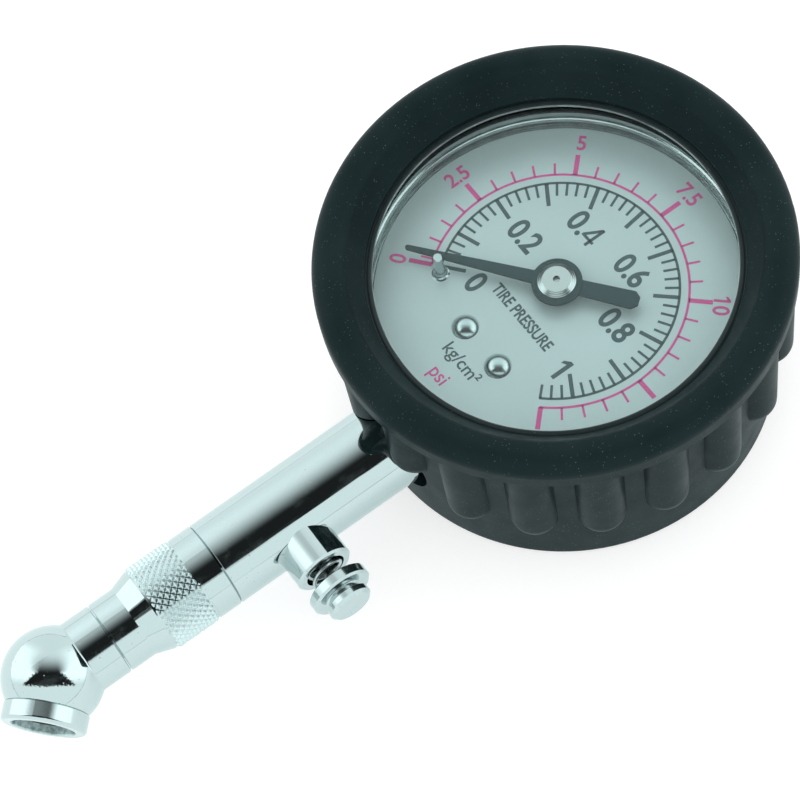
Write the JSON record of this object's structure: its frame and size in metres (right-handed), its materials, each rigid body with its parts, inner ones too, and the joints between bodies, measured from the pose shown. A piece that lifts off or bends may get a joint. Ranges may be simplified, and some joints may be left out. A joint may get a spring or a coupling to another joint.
{
  "type": "tire pressure gauge",
  "caption": "Dial tire pressure gauge in a ribbed rubber boot, with a plated arm, side release button, knurled sleeve and a swivelling angled ball chuck.",
  "frame": {"origin": "centre of the rubber boot's flat back face, on the dial's axis", "axes": "+Z out through the lens, the arm and chuck run along -Y, +X is the side of the release button"},
  "size_m": [0.064, 0.1249, 0.0344],
  "materials": {
    "boot_rubber": "matte, lightly dusty",
    "seal_rubber": "matte",
    "case_steel": "bright drawn steel",
    "bezel_enamel": "black enamel with a bright rolled inner edge",
    "lens_clear": "clear, polished",
    "dial_paint": "pale satin paint",
    "pointer_paint": "dark matt paint",
    "screw_steel": "bright plated",
    "movement_brass": "machined",
    "arbor_steel": "turned",
    "spring_steel": "drawn wire",
    "tube_bronze": "drawn bronze",
    "socket_brass": "machined",
    "arm_chrome": "brass with polished chrome plate"
  },
  "bodies": {
    "gauge": {"rubber_boot": "boot_rubber", "case_cup": "case_steel", "bezel_ring": "bezel_enamel", "lens_gasket": "seal_rubber", "lens": "lens_clear", "dial_plate": "dial_paint", "dial_screws": "screw_steel", "stop_pin": "screw_steel", "hairspring": "spring_steel", "hairspring_stud": "movement_brass", "movement_lower_plate": "movement_brass", "movement_upper_plate": "movement_brass", "movement_pillars": "movement_brass", "pillar_screws": "screw_steel", "movement_screws": "screw_steel", "bourdon_tube": "tube_bronze", "socket_block": "socket_brass", "case_screws": "arbor_steel", "stem_washer": "seal_rubber", "arm_tube": "arm_chrome", "bleed_seat": "socket_brass", "button_spring": "spring_steel", "knurled_sleeve": "arm_chrome", "sleeve_o_ring": "seal_rubber", "hold_valve_seal": "seal_rubber", "hold_valve_cage": "movement_brass", "hold_valve_spring": "spring_steel"},
    "pointer_set": {"pointer": "pointer_paint", "pointer_cap": "screw_steel", "pinion_arbor": "arbor_steel", "hairspring_collet": "movement_brass"},
    "sector_set": {"sector_gear": "movement_brass", "sector_arbor": "arbor_steel", "tail_pin": "arbor_steel"},
    "tip_set": {"tube_tip": "tube_bronze", "tip_pin": "arbor_steel"},
    "link_set": {"connecting_link": "movement_brass"},
    "button_set": {"release_button": "arm_chrome", "bleed_stem": "arbor_steel", "bleed_seal": "seal_rubber"},
    "poppet_set": {"hold_valve_poppet": "arbor_steel"},
    "chuck_set": {"chuck_head": "arm_chrome", "mouth_ring": "arm_chrome", "chuck_gasket": "seal_rubber", "depressor_pin": "socket_brass", "swivel_spindle": "socket_brass", "retaining_clip": "spring_steel", "swivel_o_ring": "seal_rubber"}
  },
  "joints": [
    {"name": "pointer_turn", "type": "hinge", "parent": "gauge", "child": "pointer_set", "pos_m": [0, 0, 0.0246], "axis": [0, 0, 1], "range_deg": [-262.3, 0], "stiffness_Nm_per_rad": 0.0003, "springref_deg": 11.46, "deforming": ["hairspring"]},
    {"name": "sector_turn", "type": "hinge", "parent": "gauge", "child": "sector_set", "pos_m": [0.0086, -0.00602, 0.0129], "axis": [0, 0, 1], "range_deg": [0, 43.8]},
    {"name": "tip_flex", "type": "hinge", "parent": "gauge", "child": "tip_set", "pos_m": [-0.00213, 0.00555, 0.0124], "axis": [0, 0, 1], "range_deg": [0, 7.2], "deforming": ["bourdon_tube"]},
    {"name": "link_swing", "type": "hinge", "parent": "tip_set", "child": "link_set", "pos_m": [0.015, -0.0083, 0.0139], "axis": [0, 0, 1], "range_deg": [0, 13.5]},
    {"name": "button_press", "type": "slide", "parent": "gauge", "child": "button_set", "axis": [-1, 0, 0], "range_m": [0, 0.002], "stiffness_N_per_m": 400, "springref_m": -0.002, "deforming": ["button_spring"]},
    {"name": "hold_valve_lift", "type": "slide", "parent": "gauge", "child": "poppet_set", "axis": [0, 1, 0], "range_m": [0, 0.0012], "stiffness_N_per_m": 100, "springref_m": -0.001, "deforming": ["hold_valve_spring"]},
    {"name": "chuck_swivel", "type": "hinge", "parent": "gauge", "child": "chuck_set", "pos_m": [0, -0.0771, 0.01238], "axis": [0, 1, 0], "continuous": true}
  ],
  "couplings": [
    {"joint": "sector_turn", "follows": "pointer_turn", "ratio": -0.16667},
    {"joint": "tip_flex", "follows": "pointer_turn", "ratio": -0.027305},
    {"joint": "link_swing", "follows": "pointer_turn", "ratio": -0.05127}
  ]
}
